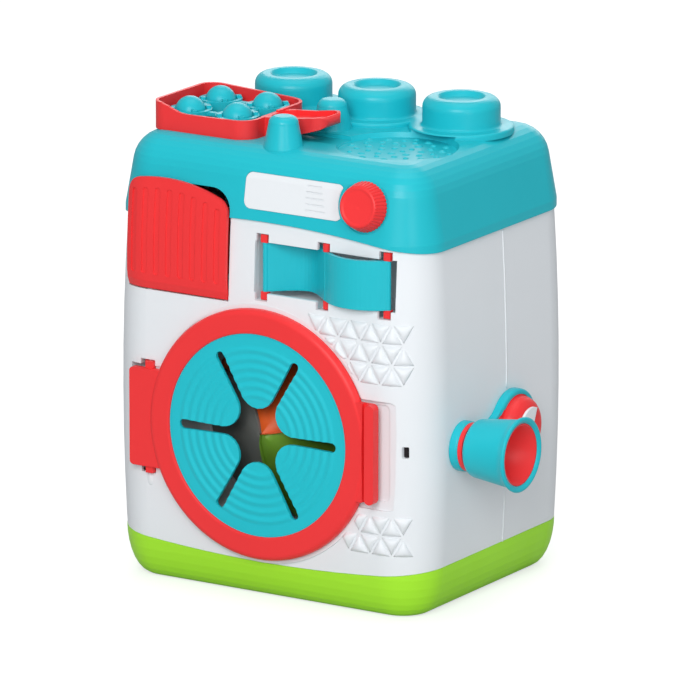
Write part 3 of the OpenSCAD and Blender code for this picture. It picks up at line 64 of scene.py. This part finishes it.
# ---- measures of the cabinet, in metres, taken from the frame where it has them ----

joint_at = {joint["name"]: joint["pos_m"] for joint in frame["joints"]}

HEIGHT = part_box("top_cover")[1][2]
HALF_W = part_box("front_shell")[1][0]
HALF_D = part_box("rear_shell")[1][1]
SEAM_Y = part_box("front_shell")[1][1]
HINGE_X, _, DOOR_Z = joint_at["door_hinge"]
_, FUNNEL_Y, FUNNEL_Z = joint_at["funnel_spin"]
CORNER_R = 0.0325  # upright corners of the walls, where the walls are widest
SWELL_R = 1.806  # slow swell of the walls, seen from the side
SWELL_Z = 0.125  # level at which they are widest
RING_CLEAR_R = 0.0854  # edge of the front wall's recess for the door ring
SUNK = 0.0004  # how far the closed inside of a piece on the wall lies in the wall
FLAT_X = HALF_W - CORNER_R
FLAT_Y = HALF_D - CORNER_R


def drawn_in(z):
    """How far the walls stand in, at this level, from where they are widest."""
    return (z - SWELL_Z) ** 2 / (2 * SWELL_R)


def wall_point(u, z, out):
    """A point on the front wall: u runs along its section from the middle, z is up, out is proud of it."""
    if u < FLAT_X:
        return Vector((u, -HALF_D + drawn_in(z) - out, z))
    angle = (u - FLAT_X) / CORNER_R
    r = CORNER_R - drawn_in(z) + out
    return Vector((FLAT_X + r * math.sin(angle), -FLAT_Y - r * math.cos(angle), z))


# ---- colours, as they show on the screen ----

def srgb(r, g, b):
    """A colour of 0 to 255 as the linear value that a shader takes."""
    def linear(v):
        v /= 255
        return v / 12.92 if v <= 0.04045 else ((v + 0.055) / 1.055) ** 2.4
    return linear(r), linear(g), linear(b), 1.0


WHITE = srgb(240, 243, 246)
TEAL = srgb(32, 193, 207)
SOFT_TEAL = srgb(26, 200, 214)
RED = srgb(251, 57, 59)
GREEN = srgb(174, 244, 52)
# painted shade: the green of the vane, darkened for the shade inside the drum
GREEN_WITH_PAINTED_SHADE = srgb(112, 156, 48)
ORANGE = srgb(226, 92, 34)
GREY = srgb(112, 112, 108)
PALE_GREY = srgb(206, 210, 212)
# painted shade: near black for the plate behind the slot by the door handle
PAINTED_SHADE_BLACK = srgb(26, 16, 20)
STEEL_DARK = srgb(160, 162, 166)
STEEL_LIGHT = srgb(214, 215, 218)


# ---- materials ----

# scales of the noises: about so many waves to a metre
DRIFT = 14
FLOW = 60
STREAK = 900
GRAIN = 2600

FLOW_STRETCH = (1, 1, 0.35)  # flow marks are drawn out upwards
STREAK_STRETCH = (1, 1, 0.08)  # and the streaks of drawn steel far more
NOISE_LOW, NOISE_HIGH = 0.3, 0.7  # most of a noise lies between these
GLOSS_SWING = 0.05  # how far flow marks take the roughness either way
GRAIN_DEPTH = 0.00005
SCATTER_REACH = (0.004, 0.003, 0.003)  # how far red, green and blue light spread in the soft membrane


def node(tree, kind, **values):
    made = tree.nodes.new(kind)
    for key, value in values.items():
        setattr(made, key, value)
    return made


def new_material(name):
    material = bpy.data.materials.new(name)
    material.use_nodes = True
    tree = material.node_tree
    return material, tree, tree.nodes["Principled BSDF"]


def object_coords(tree):
    """The object's own coordinates, which are the frame's, in metres."""
    return node(tree, "ShaderNodeTexCoord").outputs["Object"]


def noise(tree, coords, scale, detail, stretch=None):
    """Noise over coords; a stretch under 1 draws it out along that axis."""
    if stretch:
        mapping = node(tree, "ShaderNodeMapping")
        mapping.inputs["Scale"].default_value = stretch
        tree.links.new(coords, mapping.inputs["Vector"])
        coords = mapping.outputs["Vector"]
    texture = node(tree, "ShaderNodeTexNoise")
    texture.inputs["Scale"].default_value = scale
    texture.inputs["Detail"].default_value = detail
    tree.links.new(coords, texture.inputs["Vector"])
    return texture.outputs["Fac"]


def ramp(tree, value, low, high, at_low, at_high):
    """Maps value from low..high to at_low..at_high."""
    made = node(tree, "ShaderNodeMapRange")
    made.inputs["From Min"].default_value = low
    made.inputs["From Max"].default_value = high
    made.inputs["To Min"].default_value = at_low
    made.inputs["To Max"].default_value = at_high
    tree.links.new(value, made.inputs["Value"])
    return made.outputs["Result"]


def tinted(tree, value, dark, light):
    """A colour that goes from dark to light with value."""
    made = node(tree, "ShaderNodeMix", data_type="RGBA")
    made.inputs["A"].default_value = dark
    made.inputs["B"].default_value = light
    tree.links.new(value, made.inputs["Factor"])
    return made.outputs["Result"]


def shade(colour, factor):
    return tuple(c * factor for c in colour[:3]) + (1.0,)


def edge_normal(tree, radius, height, strength):
    """Rounded edges with a fine relief on top."""
    edge = node(tree, "ShaderNodeBevel", samples=4)
    edge.inputs["Radius"].default_value = radius
    relief = node(tree, "ShaderNodeBump")
    relief.inputs["Strength"].default_value = strength
    relief.inputs["Distance"].default_value = GRAIN_DEPTH
    tree.links.new(height, relief.inputs["Height"])
    tree.links.new(edge.outputs["Normal"], relief.inputs["Normal"])
    return relief.outputs["Normal"]


def plastic(name, colour, rough, spread, edge=0.0005, grain=0.12, scatter=0.0, specular=0.3):
    """Injection-moulded plastic: slow drift of colour, flow marks in the gloss and a fine grain."""
    material, tree, shader = new_material(name)
    coords = object_coords(tree)
    drift = noise(tree, coords, DRIFT, detail=3)
    tree.links.new(tinted(tree, drift, shade(colour, 1 - spread), shade(colour, 1 + spread)),
                   shader.inputs["Base Color"])
    flow = noise(tree, coords, FLOW, detail=4, stretch=FLOW_STRETCH)
    tree.links.new(ramp(tree, flow, NOISE_LOW, NOISE_HIGH, rough - GLOSS_SWING, rough + GLOSS_SWING),
                   shader.inputs["Roughness"])
    fine = noise(tree, coords, GRAIN, detail=2)
    tree.links.new(edge_normal(tree, edge, fine, grain), shader.inputs["Normal"])
    shader.inputs["Specular IOR Level"].default_value = specular
    if scatter:
        shader.inputs["Subsurface Weight"].default_value = scatter
        shader.inputs["Subsurface Radius"].default_value = SCATTER_REACH
        shader.inputs["Subsurface Scale"].default_value = 1.0
    return material


def steel(name):
    """Drawn wire and plated screws: fine streaks in tone and gloss."""
    material, tree, shader = new_material(name)
    streak = noise(tree, object_coords(tree), STREAK, detail=3, stretch=STREAK_STRETCH)
    tree.links.new(tinted(tree, streak, STEEL_DARK, STEEL_LIGHT), shader.inputs["Base Color"])
    tree.links.new(ramp(tree, streak, NOISE_LOW, NOISE_HIGH, at_low=0.22, at_high=0.4),
                   shader.inputs["Roughness"])
    tree.links.new(edge_normal(tree, radius=0.0002, height=streak, strength=0.15), shader.inputs["Normal"])
    shader.inputs["Metallic"].default_value = 1.0
    return material


# one for each slot of the record, and two more for single pieces
finish = {
    "white_shell": plastic("white_plastic", WHITE, rough=0.42, spread=0.012),
    "teal_plastic": plastic("teal_plastic", TEAL, rough=0.34, spread=0.04),
    "red_plastic": plastic("red_plastic", RED, rough=0.36, spread=0.04),
    "green_plastic": plastic("green_plastic", GREEN, rough=0.38, spread=0.04),
    "orange_plastic": plastic("orange_plastic", ORANGE, rough=0.4, spread=0.05),
    "grey_plastic": plastic("grey_plastic", GREY, rough=0.4, spread=0.05),
    "inner_plastic": plastic("inner_plastic", PALE_GREY, rough=0.45, spread=0.03),
    "soft_membrane": plastic("soft_membrane", SOFT_TEAL, rough=0.46, spread=0.03, edge=0.0006, grain=0.2,
                             scatter=0.06, specular=0.4),
    "steel": steel("steel"),
    # painted shade: near-black plastic for the plate behind the slot
    "painted_shade_plastic": plastic("painted_shade_plastic", PAINTED_SHADE_BLACK, rough=0.5, spread=0.05),
    # painted shade: the green vane's plastic is darkened for the drum's shade it lies in
    "vane_plastic_painted_shade": plastic("vane_plastic_painted_shade", GREEN_WITH_PAINTED_SHADE, rough=0.4, spread=0.05),
}

# the housing of the wave is as white as the shells, and the green vane is painted darker than the base: painted
# shade for the shade inside the drum
own_finish = {"wave_housing": "white_shell", "vane_green": "vane_plastic_painted_shade"}

slot_of = {part["node"]: part["material_slot"] for part in frame["record"]["subparts"]}
for name, obj in frame["nodes"].items():
    obj.data.materials.clear()
    obj.data.materials.append(finish[own_finish.get(name, slot_of[name])])


# ---- what the new pieces share ----

def mesh_piece(name, verts, faces, body, slot, material=None, smooth=True):
    """A new piece that rides on a body; its material is the slot's own unless another is given."""
    mesh = bpy.data.meshes.new(name)
    mesh.from_pydata([tuple(v) for v in verts], [], faces)
    mesh.validate()
    mesh.update()
    for face in mesh.polygons:
        face.use_smooth = smooth
    mesh.materials.append(material or finish[slot])
    obj = bpy.data.objects.new(name, mesh)
    scene.collection.objects.link(obj)
    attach(obj, body)
    return obj


# ---- triangles moulded on the front wall ----

TRI_PITCH = 0.0162  # width of a triangle
TRI_ROW = 0.01375  # height of a row
TRI_H = 0.0026  # how far a triangle stands proud in its middle
TRI_RIM = 0.00002  # how far its rim lies under the wall's face
TRI_GAP = 0.055  # share of a triangle that is left free along each side
TRI_FULLNESS = 0.62  # the less, the fuller the pillow and the steeper its rim
TRI_FADE = 0.0015  # over this width the relief dies away at the door's recess
TRI_STEPS = 10
FIRST_U = 0.0422  # middle of column 0; the columns lie half a pitch apart
LAST_COLUMN = 8
HIGH_ROWS_Z = 0.198  # top of the upper field of rows
LOW_ROWS_Z = 0.0705  # top of the lower field


def pillow_top(corners):
    """A lattice over three corners: its points (u, z, height, distance from the door's recess) and cells."""
    n = TRI_STEPS
    points, index = [], {}
    for i in range(n + 1):
        for j in range(n + 1 - i):
            shares = [i / n, j / n, (n - i - j) / n]
            inset = [TRI_GAP + (1 - 3 * TRI_GAP) * share for share in shares]
            u = sum(weight * corner[0] for weight, corner in zip(inset, corners))
            z = sum(weight * corner[1] for weight, corner in zip(inset, corners))
            clear = math.hypot(wall_point(u, z, 0).x, z - DOOR_Z) - RING_CLEAR_R
            dome = (27 * shares[0] * shares[1] * shares[2]) ** TRI_FULLNESS  # 1 in the middle, 0 on the rim
            fade = min(1, max(0, clear / TRI_FADE))
            index[i, j] = len(points)
            points.append((u, z, TRI_H * dome * fade - TRI_RIM, clear))
    cells = []
    for i in range(n):
        for j in range(n - i):
            cells.append((index[i, j], index[i + 1, j], index[i, j + 1]))
            if i + j < n - 1:
                cells.append((index[i + 1, j], index[i + 1, j + 1], index[i, j + 1]))
    return points, [cell for cell in cells if all(points[k][3] > 0 for k in cell)]


def add_pillow(verts, faces, corners):
    """Adds one triangle, kept outside the door's recess and closed inside the wall."""
    points, cells = pillow_top(corners)
    if not cells:
        return
    a, b, c = (wall_point(*points[k][:3]) for k in cells[0])
    if (b - a).cross(c - a).y > 0:
        cells = [cell[::-1] for cell in cells]
    used = sorted({k for cell in cells for k in cell})
    top = {k: len(verts) + m for m, k in enumerate(used)}
    low = {k: len(verts) + len(used) + m for m, k in enumerate(used)}
    verts += [wall_point(*points[k][:3]) for k in used]
    verts += [wall_point(*points[k][:2], -SUNK) for k in used]
    edges = {(cell[m], cell[(m + 1) % 3]) for cell in cells for m in range(3)}
    faces += [tuple(top[k] for k in cell) for cell in cells]
    faces += [tuple(low[k] for k in cell[::-1]) for cell in cells]
    faces += [(top[q], top[p], low[p], low[q]) for p, q in sorted(edges) if (q, p) not in edges]


def triangle_rows(name, z_top, first_columns):
    """Rows from z_top down, each from its first column to the last, pointing down and up by turns."""
    verts, faces = [], []
    for row, first in enumerate(first_columns):
        z_high, z_low = z_top - row * TRI_ROW, z_top - (row + 1) * TRI_ROW
        for column in range(first, LAST_COLUMN + 1):
            middle = FIRST_U + column / 2 * TRI_PITCH
            base, tip = (z_high, z_low) if (column + row) % 2 == 0 else (z_low, z_high)
            add_pillow(verts, faces,
                       [(middle - TRI_PITCH / 2, base), (middle + TRI_PITCH / 2, base), (middle, tip)])
    mesh_piece(name, verts, faces, "cabinet", "white_shell")


triangle_rows("triangles_high", HIGH_ROWS_Z, first_columns=(0, 1, 2))
triangle_rows("triangles_low", LOW_ROWS_Z, first_columns=(4, 3))


# ---- funnel, turned with a bellied side and a flared mouth ----

TURN_STEPS = 128
CUP_LOW, CUP_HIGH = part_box("funnel")[0][0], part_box("funnel")[1][0]
LINER_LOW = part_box("funnel_liner")[0][0]

# outside of the cup, from its closed end to the lip
BORE_R = 0.00412
CUP_R = 0.0193
HEEL_R = 0.0048  # round of the closed end
FLARE_IN, FLARE_R = 0.0085, 0.0221  # the flare starts so far in from the mouth, at this radius
RIM_IN, RIM_DROP = 0.0022, 0.0004  # and ends so far in from the mouth, so much under its radius
MOUTH_R = 0.0248
LIP_R = 0.0016

# inside of the cup, from the lip to its floor
CUP_WALL = 0.0026
EDGE_IN, EDGE_R = 0.0012, 0.0206
BELLY_X, BELLY_R = 0.0030, CUP_R - CUP_WALL
BEND_X, BEND_R = 0.0006, 0.0146
SEAT_R = 0.0132

# the lining, a shell that stays clear of the cup
LINING_T = 0.0012
LINING_RISE = 0.7 * LINING_T  # how far its inner corners stand on from the outer ones, towards the mouth
BORE_GAP = 0.0003
LINING_BORE_R = BORE_R + BORE_GAP
SEAT_GAP = 0.0001
BEND_GAP = 0.0002
BELLY_GAP = 0.00012
EDGE_GAP = 0.00015
EDGE_STEP = 0.0004  # how far its edge stays behind the cup's


def arc(x, r, radius, start, end, steps):
    """Points of a round stretch of a profile about (x, r), by angle in degrees from the axis."""
    angles = [math.radians(start + (end - start) * k / steps) for k in range(steps + 1)]
    return [(x + radius * math.cos(a), r + radius * math.sin(a)) for a in angles]


def eased(first, last, steps):
    """A smooth run between two points of a profile that leaves the first one along the axis."""
    (x0, r0), (x1, r1) = first, last
    return [(x0 + (x1 - x0) * k / steps, r0 + (r1 - r0) * (k / steps) ** 2) for k in range(1, steps + 1)]


def turned_piece(name, profile, y, z, body, slot):
    """A closed profile of (x, r) points turned about an axis along X."""
    verts, faces, n = [], [], len(profile)
    for k in range(TURN_STEPS):
        a = 2 * math.pi * k / TURN_STEPS
        verts += [(x, y + r * math.cos(a), z + r * math.sin(a)) for x, r in profile]
    for k in range(TURN_STEPS):
        here, there = k * n, (k + 1) % TURN_STEPS * n
        faces += [(here + i, here + (i + 1) % n, there + (i + 1) % n, there + i) for i in range(n)]
    return mesh_piece(name, verts, faces, body, slot)


flare_start = (CUP_HIGH - FLARE_IN, FLARE_R)
flare_end = (CUP_HIGH - RIM_IN, MOUTH_R - RIM_DROP)
cup_profile = (
    [(CUP_LOW, BORE_R)]
    + arc(CUP_LOW + HEEL_R, CUP_R - HEEL_R, HEEL_R, start=180, end=95, steps=8)
    + [flare_start]
    + eased(flare_start, flare_end, steps=6)
    + arc(CUP_HIGH - LIP_R, MOUTH_R - LIP_R, LIP_R, start=70, end=-30, steps=7)
    + [(CUP_HIGH - EDGE_IN, EDGE_R), (LINER_LOW + BELLY_X, BELLY_R), (LINER_LOW + BEND_X, BEND_R)]
    + [(LINER_LOW - SEAT_GAP, SEAT_R), (LINER_LOW - SEAT_GAP, BORE_R)])
cup = turned_piece("funnel_cup", cup_profile, FUNNEL_Y, FUNNEL_Z, "funnel", "teal_plastic")
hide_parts("funnel")

lining_floor_r = SEAT_R - BEND_GAP
lining_side = [
    (LINER_LOW, lining_floor_r),
    (LINER_LOW + BEND_X + BEND_GAP, BEND_R - BEND_GAP),
    (LINER_LOW + BELLY_X + SEAT_GAP, BELLY_R - BELLY_GAP)]
lining_edge = (CUP_HIGH - EDGE_IN - EDGE_STEP, EDGE_R - EDGE_GAP)
lining_profile = (
    [(LINER_LOW, LINING_BORE_R)]
    + lining_side
    + [lining_edge, (lining_edge[0], lining_edge[1] - LINING_T)]
    + [(x + LINING_RISE, r - LINING_T) for x, r in reversed(lining_side)]
    + [(LINER_LOW + LINING_T, lining_floor_r - LINING_T), (LINER_LOW + LINING_T, LINING_BORE_R)])
lining = turned_piece("funnel_lining", lining_profile, FUNNEL_Y, FUNNEL_Z, "funnel", "red_plastic")
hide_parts("funnel_liner")


# ---- parting line down the right side wall ----

BEAD_R = 0.00065
BEAD_FLATNESS = 0.8
BEAD_RIM = 0.00008  # how far its edges lie under the wall's face
BEAD_STEPS = 24
BEAD_ACROSS = 6
BEAD_RUNS = [(0.0325, 0.0845), (0.1365, 0.2430)]  # where the seam shows, under and over the funnel's base


def seam_bead(name, runs):
    """A fine half-round bead where the front and rear shell meet."""
    verts, faces = [], []
    row = BEAD_ACROSS + 1
    for low, high in runs:
        first = len(verts)
        for k in range(BEAD_STEPS + 1):
            z = low + (high - low) * k / BEAD_STEPS
            for m in range(row):
                a = math.pi * m / BEAD_ACROSS
                out = BEAD_R * math.sin(a) * BEAD_FLATNESS - BEAD_RIM
                verts.append((HALF_W - drawn_in(z) + out, SEAM_Y - BEAD_R * math.cos(a), z))
        for k in range(BEAD_STEPS):
            for m in range(row):
                a, b = first + k * row + m, first + k * row + (m + 1) % row
                faces.append((a, b, b + row, a + row))
        faces.append(tuple(first + m for m in range(row))[::-1])
        faces.append(tuple(first + BEAD_STEPS * row + m for m in range(row)))
    mesh_piece(name, verts, faces, "cabinet", "white_shell")


seam_bead("seam_bead_right", BEAD_RUNS)


# ---- dark plate behind the small slot beside the door handle: painted shade for the shaded inside of the cabinet seen through it ----

SLOT_SHADE_U = (0.101, 0.1125)
SLOT_SHADE_Z = (0.106, 0.121)
SLOT_SHADE_DEPTH = 0.0029
SLOT_SHADE_T = 0.001
SLOT_SHADE_STEPS = 8


def curved_plate(name, u_range, z_range, depth, thick, slot, material):
    """A plate that follows the front wall, with its face at this depth behind the wall's."""
    verts, faces, n = [], [], SLOT_SHADE_STEPS
    for out in (-depth, -depth - thick):
        for i in range(n + 1):
            u = u_range[0] + (u_range[1] - u_range[0]) * i / n
            verts += [wall_point(u, z, out) for z in z_range]
    behind = 2 * (n + 1)
    for i in range(n):
        a = 2 * i
        faces.append((a, a + 2, a + 3, a + 1))
        faces.append((behind + a, behind + a + 1, behind + a + 3, behind + a + 2))
        faces.append((a, behind + a, behind + a + 2, a + 2))
        faces.append((a + 1, a + 3, behind + a + 3, behind + a + 1))
    end = 2 * n
    faces.append((0, 1, behind + 1, behind))
    faces.append((behind + end, behind + end + 1, end + 1, end))
    mesh_piece(name, verts, faces, "cabinet", slot, material, smooth=False)


# a near-black plate behind the slot: painted shade where the inside of the cabinet lies in shade
curved_plate("slot_painted_shade", SLOT_SHADE_U, SLOT_SHADE_Z, SLOT_SHADE_DEPTH, SLOT_SHADE_T, "grey_plastic", finish["painted_shade_plastic"])


# ---- boss over the foot of the door's hinge pin, where its bore breaks through the wall by a hair ----

BOSS_RISE = 0.0029  # of its middle over the pin's foot
BOSS_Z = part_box("door_pin")[0][2] + BOSS_RISE
BOSS_HALF_U = 0.0024
BOSS_HALF_Z = 0.0045
BOSS_H = 0.00055
BOSS_RIM = 0.00004  # how far its rim lies under the wall's face
BOSS_RINGS = 6
BOSS_AROUND = 32


def wall_bump(name, u_middle, z_middle, half_u, half_z, height, slot):
    """A soft oval bump on the flat of the front wall, closed inside it."""
    angles = [2 * math.pi * m / BOSS_AROUND for m in range(BOSS_AROUND)]

    def ring(share, out):
        return [wall_point(u_middle + half_u * share * math.cos(a),
                           z_middle + half_z * share * math.sin(a), out) for a in angles]

    verts = [wall_point(u_middle, z_middle, height)]
    for k in range(1, BOSS_RINGS + 1):
        share = k / BOSS_RINGS
        verts += ring(share, height * (1 - share * share) - BOSS_RIM)
    verts += ring(1, -SUNK)
    inner = 1 + BOSS_RINGS * BOSS_AROUND
    faces = []
    for m in range(BOSS_AROUND):
        n = (m + 1) % BOSS_AROUND
        faces.append((0, 1 + m, 1 + n))
        for a in range(1, inner, BOSS_AROUND):
            b = a + BOSS_AROUND
            faces.append((a + m, b + m, b + n, a + n))
    faces.append(tuple(inner + m for m in range(BOSS_AROUND))[::-1])
    mesh_piece(name, verts, faces, "cabinet", slot)


wall_bump("hinge_pin_boss", HINGE_X, BOSS_Z, BOSS_HALF_U, BOSS_HALF_Z, BOSS_H, "white_shell")


# ---- floor ----

FLOOR_HALF = 12.0
FLOOR_DROP = 0.0002
FLOOR_GREY = (0.52, 0.52, 0.52, 1)
FLOOR_GLOW = 0.65


def floor_material():
    """Matt grey that keeps the shadow; a glow that only the camera sees makes it pale."""
    material, tree, shader = new_material("pale_floor")
    shader.inputs["Base Color"].default_value = FLOOR_GREY
    shader.inputs["Roughness"].default_value = 0.9
    shader.inputs["Specular IOR Level"].default_value = 0.1
    ray = node(tree, "ShaderNodeLightPath")
    glow = node(tree, "ShaderNodeEmission")
    tree.links.new(ramp(tree, ray.outputs["Is Camera Ray"], 0, 1, at_low=0, at_high=FLOOR_GLOW),
                   glow.inputs["Strength"])
    both = node(tree, "ShaderNodeAddShader")
    tree.links.new(shader.outputs["BSDF"], both.inputs[0])
    tree.links.new(glow.outputs["Emission"], both.inputs[1])
    tree.links.new(both.outputs["Shader"], tree.nodes["Material Output"].inputs["Surface"])
    return material


floor_corners = [(FLOOR_HALF * x, FLOOR_HALF * y, 0) for x, y in ((-1, -1), (1, -1), (1, 1), (-1, 1))]
floor_mesh = bpy.data.meshes.new("floor")
floor_mesh.from_pydata(floor_corners, [], [(0, 1, 2, 3)])
floor_mesh.materials.append(floor_material())
floor = bpy.data.objects.new("floor", floor_mesh)
floor.location.z = cad_box[0][2] - FLOOR_DROP
scene.collection.objects.link(floor)


# ---- room and lamps ----

ROOM_TINT = (0.93, 0.965, 1.0, 1)
ROOM_LIGHT = 0.36
ROOM_IN_GLOSS = 0.5
MIDDLE = Vector((0, 0, HEIGHT / 2))


def soft_room():
    """Dim bluish light all round, brighter in reflections and white to the camera."""
    world = bpy.data.worlds.new("soft_room")
    world.use_nodes = True
    tree = world.node_tree
    ray = node(tree, "ShaderNodeLightPath")
    room = tree.nodes["Background"]
    room.inputs["Color"].default_value = ROOM_TINT
    tree.links.new(ramp(tree, ray.outputs["Is Glossy Ray"], 0, 1, ROOM_LIGHT, ROOM_IN_GLOSS),
                   room.inputs["Strength"])
    white = node(tree, "ShaderNodeBackground")
    white.inputs["Color"].default_value = (1, 1, 1, 1)
    white.inputs["Strength"].default_value = 1.0
    pick = node(tree, "ShaderNodeMixShader")
    tree.links.new(ray.outputs["Is Camera Ray"], pick.inputs[0])
    tree.links.new(room.outputs["Background"], pick.inputs[1])
    tree.links.new(white.outputs["Background"], pick.inputs[2])
    tree.links.new(pick.outputs["Shader"], tree.nodes["World Output"].inputs["Surface"])
    return world


def lamp(name, at, size, watts, colour=(1, 1, 1)):
    """A soft rectangular lamp turned to the middle of the object."""
    data = bpy.data.lights.new(name, "AREA")
    data.shape = "RECTANGLE"
    data.size, data.size_y = size
    data.energy = watts
    data.color = colour
    obj = bpy.data.objects.new(name, data)
    scene.collection.objects.link(obj)
    obj.location = at
    obj.rotation_euler = (MIDDLE - Vector(at)).to_track_quat("-Z", "Y").to_euler()


scene.world = soft_room()
lamp("key", at=(0.75, -2.1, 1.35), size=(1.2, 1.2), watts=32, colour=(0.99, 1.0, 1.0))
lamp("fill", at=(1.9, -0.5, 0.9), size=(1.6, 1.6), watts=1.4, colour=(0.93, 0.97, 1.0))
lamp("strip", at=(1.62, -1.25, 0.75), size=(0.35, 1.5), watts=6, colour=(0.97, 0.99, 1.0))
lamp("top", at=(0.1, 0.1, 2.2), size=(1.6, 1.6), watts=11)
lamp("back", at=(-0.8, 2.0, 1.2), size=(1.6, 1.6), watts=14)


# ---- camera, fitted to the cabinet's edges in the photograph ----

IMAGE_PX = 680
FOCAL_PX = 8535.9
SENSOR_MM = 36
CLIP_END = 60
AZIMUTH = math.radians(32.1441)
ELEVATION = math.radians(14.3457)
ROLL = math.radians(0.0771)
DISTANCE = 17.4936 * HEIGHT
AIM_LEFT = 0.0028 * HEIGHT  # the middle of the view lies this far left of the object's middle
AIM_BELOW = 0.0186 * HEIGHT  # and this far below it

level_right = Vector((math.cos(AZIMUTH), math.sin(AZIMUTH), 0))
backward = Vector((math.sin(AZIMUTH) * math.cos(ELEVATION), -math.cos(AZIMUTH) * math.cos(ELEVATION),
                   math.sin(ELEVATION)))
level_up = backward.cross(level_right)
right = level_right * math.cos(ROLL) + level_up * math.sin(ROLL)
up = level_up * math.cos(ROLL) - level_right * math.sin(ROLL)
place = MIDDLE - level_right * AIM_LEFT - level_up * AIM_BELOW + backward * DISTANCE

camera_data = bpy.data.cameras.new("camera")
camera_data.sensor_width = SENSOR_MM
camera_data.lens = FOCAL_PX / IMAGE_PX * SENSOR_MM
camera_data.clip_end = CLIP_END
camera = bpy.data.objects.new("camera", camera_data)
scene.collection.objects.link(camera)
camera.matrix_world = Matrix([[axis[i] for axis in (right, up, backward, place)] for i in range(3)]
                             + [[0, 0, 0, 1]])
scene.camera = camera

scene.view_settings.view_transform = "Standard"
